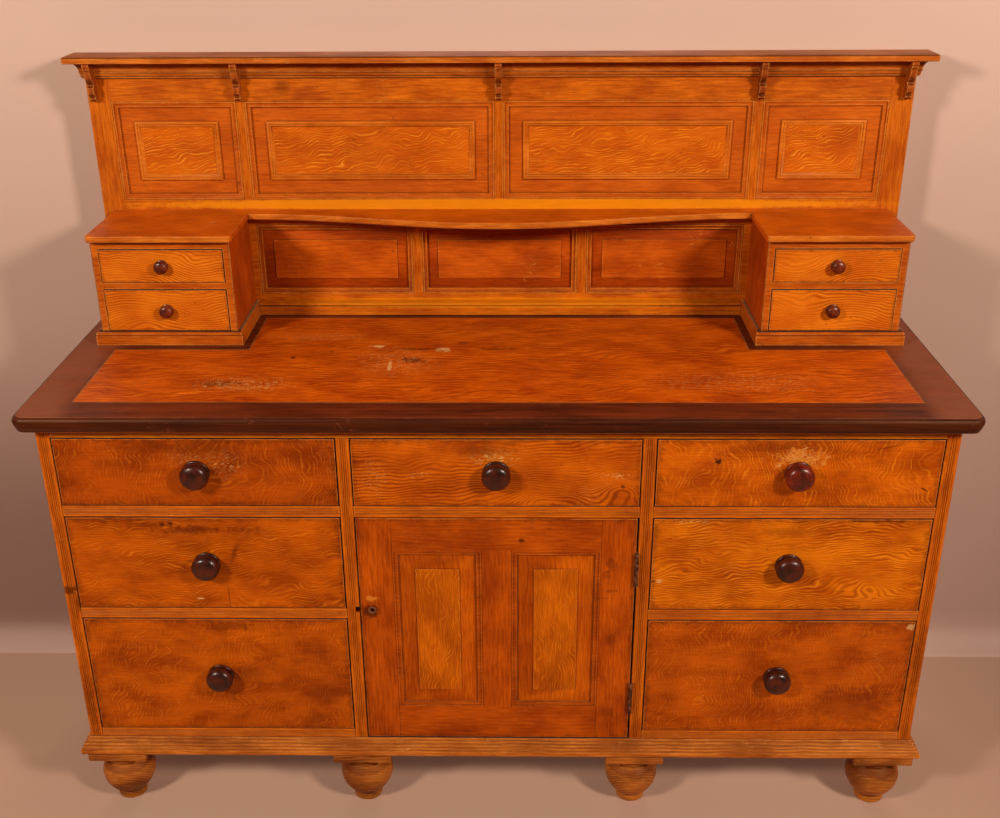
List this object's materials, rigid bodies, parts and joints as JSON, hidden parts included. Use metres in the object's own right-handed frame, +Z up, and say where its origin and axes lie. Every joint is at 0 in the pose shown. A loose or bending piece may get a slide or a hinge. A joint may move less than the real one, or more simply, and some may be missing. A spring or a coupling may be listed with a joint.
{
  "type": "welsh dresser",
  "caption": "Grained pine dresser: drawers and a cupboard under a worktop, with a low panelled back, a serpentine plate shelf, small drawer boxes and a bracketed cornice.",
  "frame": {"origin": "on the floor, under the centre of the whole object's bounding box", "axes": "+X to the right seen from the front, +Y to the wall, +Z up; the front with the drawers faces -Y"},
  "size_m": [1.706, 0.571, 1.443],
  "materials": {
    "frame": "orange-brown oak graining under worn varnish",
    "panel": "redder graining with a figured field under varnish",
    "drawer": "figured orange graining under worn varnish",
    "worktop": "polished orange graining with a dark mahogany border",
    "bare_pine": "unfinished sawn pine",
    "knob": "glossy dark mahogany",
    "iron": "browned iron with worn brown varnish"
  },
  "bodies": {
    "carcass": {"gable_left": "frame", "gable_right": "frame", "partition_left": "frame", "partition_right": "frame", "rail_left_lower": "frame", "rail_left_upper": "frame", "rail_right_lower": "frame", "rail_right_upper": "frame", "rail_centre": "frame", "top_rail": "frame", "base_board": "frame", "carcass_back": "bare_pine", "foot_outer_left": "frame", "foot_inner_left": "frame", "foot_inner_right": "frame", "foot_outer_right": "frame", "worktop": "worktop", "back_frame": "frame", "panel_outer_left": "panel", "panel_inner_left": "panel", "panel_inner_right": "panel", "panel_outer_right": "panel", "lower_panels": "panel", "cornice": "frame", "corbel_1": "frame", "corbel_2": "frame", "corbel_3": "frame", "corbel_4": "frame", "corbel_5": "frame", "plate_shelf": "worktop", "drawer_case_left": "frame", "drawer_case_right": "frame", "hinge_upper_fixed": "iron", "hinge_lower_fixed": "iron"},
    "cupboard_door": {"door": "frame", "hinge_upper_moving": "iron", "hinge_lower_moving": "iron"},
    "bolt": {"lock_bolt": "iron"},
    "left_upper": {"drawer_left_upper": "drawer", "drawer_left_upper_knob": "knob"},
    "left_middle": {"drawer_left_middle": "drawer", "drawer_left_middle_knob": "knob"},
    "left_lower": {"drawer_left_lower": "drawer", "drawer_left_lower_knob": "knob"},
    "right_upper": {"drawer_right_upper": "drawer", "drawer_right_upper_knob": "knob"},
    "right_middle": {"drawer_right_middle": "drawer", "drawer_right_middle_knob": "knob"},
    "right_lower": {"drawer_right_lower": "drawer", "drawer_right_lower_knob": "knob"},
    "centre": {"drawer_centre": "drawer", "drawer_centre_knob": "knob"},
    "small_left_lower": {"small_drawer_left_lower": "drawer", "small_drawer_left_lower_knob": "knob"},
    "small_left_upper": {"small_drawer_left_upper": "drawer", "small_drawer_left_upper_knob": "knob"},
    "small_right_lower": {"small_drawer_right_lower": "drawer", "small_drawer_right_lower_knob": "knob"},
    "small_right_upper": {"small_drawer_right_upper": "drawer", "small_drawer_right_upper_knob": "knob"}
  },
  "joints": [
    {"name": "left_upper_slide", "type": "slide", "parent": "carcass", "child": "left_upper", "axis": [0, -1, 0], "range_m": [0, 0.36]},
    {"name": "left_middle_slide", "type": "slide", "parent": "carcass", "child": "left_middle", "axis": [0, -1, 0], "range_m": [0, 0.36]},
    {"name": "left_lower_slide", "type": "slide", "parent": "carcass", "child": "left_lower", "axis": [0, -1, 0], "range_m": [0, 0.36]},
    {"name": "right_upper_slide", "type": "slide", "parent": "carcass", "child": "right_upper", "axis": [0, -1, 0], "range_m": [0, 0.36]},
    {"name": "right_middle_slide", "type": "slide", "parent": "carcass", "child": "right_middle", "axis": [0, -1, 0], "range_m": [0, 0.36]},
    {"name": "right_lower_slide", "type": "slide", "parent": "carcass", "child": "right_lower", "axis": [0, -1, 0], "range_m": [0, 0.36]},
    {"name": "centre_slide", "type": "slide", "parent": "carcass", "child": "centre", "axis": [0, -1, 0], "range_m": [0, 0.36]},
    {"name": "small_left_lower_slide", "type": "slide", "parent": "carcass", "child": "small_left_lower", "axis": [0, -1, 0], "range_m": [0, 0.12]},
    {"name": "small_left_upper_slide", "type": "slide", "parent": "carcass", "child": "small_left_upper", "axis": [0, -1, 0], "range_m": [0, 0.12]},
    {"name": "small_right_lower_slide", "type": "slide", "parent": "carcass", "child": "small_right_lower", "axis": [0, -1, 0], "range_m": [0, 0.12]},
    {"name": "small_right_upper_slide", "type": "slide", "parent": "carcass", "child": "small_right_upper", "axis": [0, -1, 0], "range_m": [0, 0.12]},
    {"name": "door_swing", "type": "hinge", "parent": "carcass", "child": "cupboard_door", "pos_m": [0.2609, -0.2528, 0.4], "axis": [0, 0, 1], "range_deg": [0, 90]},
    {"name": "bolt_throw", "type": "slide", "parent": "cupboard_door", "child": "bolt", "axis": [-1, 0, 0], "range_m": [0, 0.007]}
  ]
}
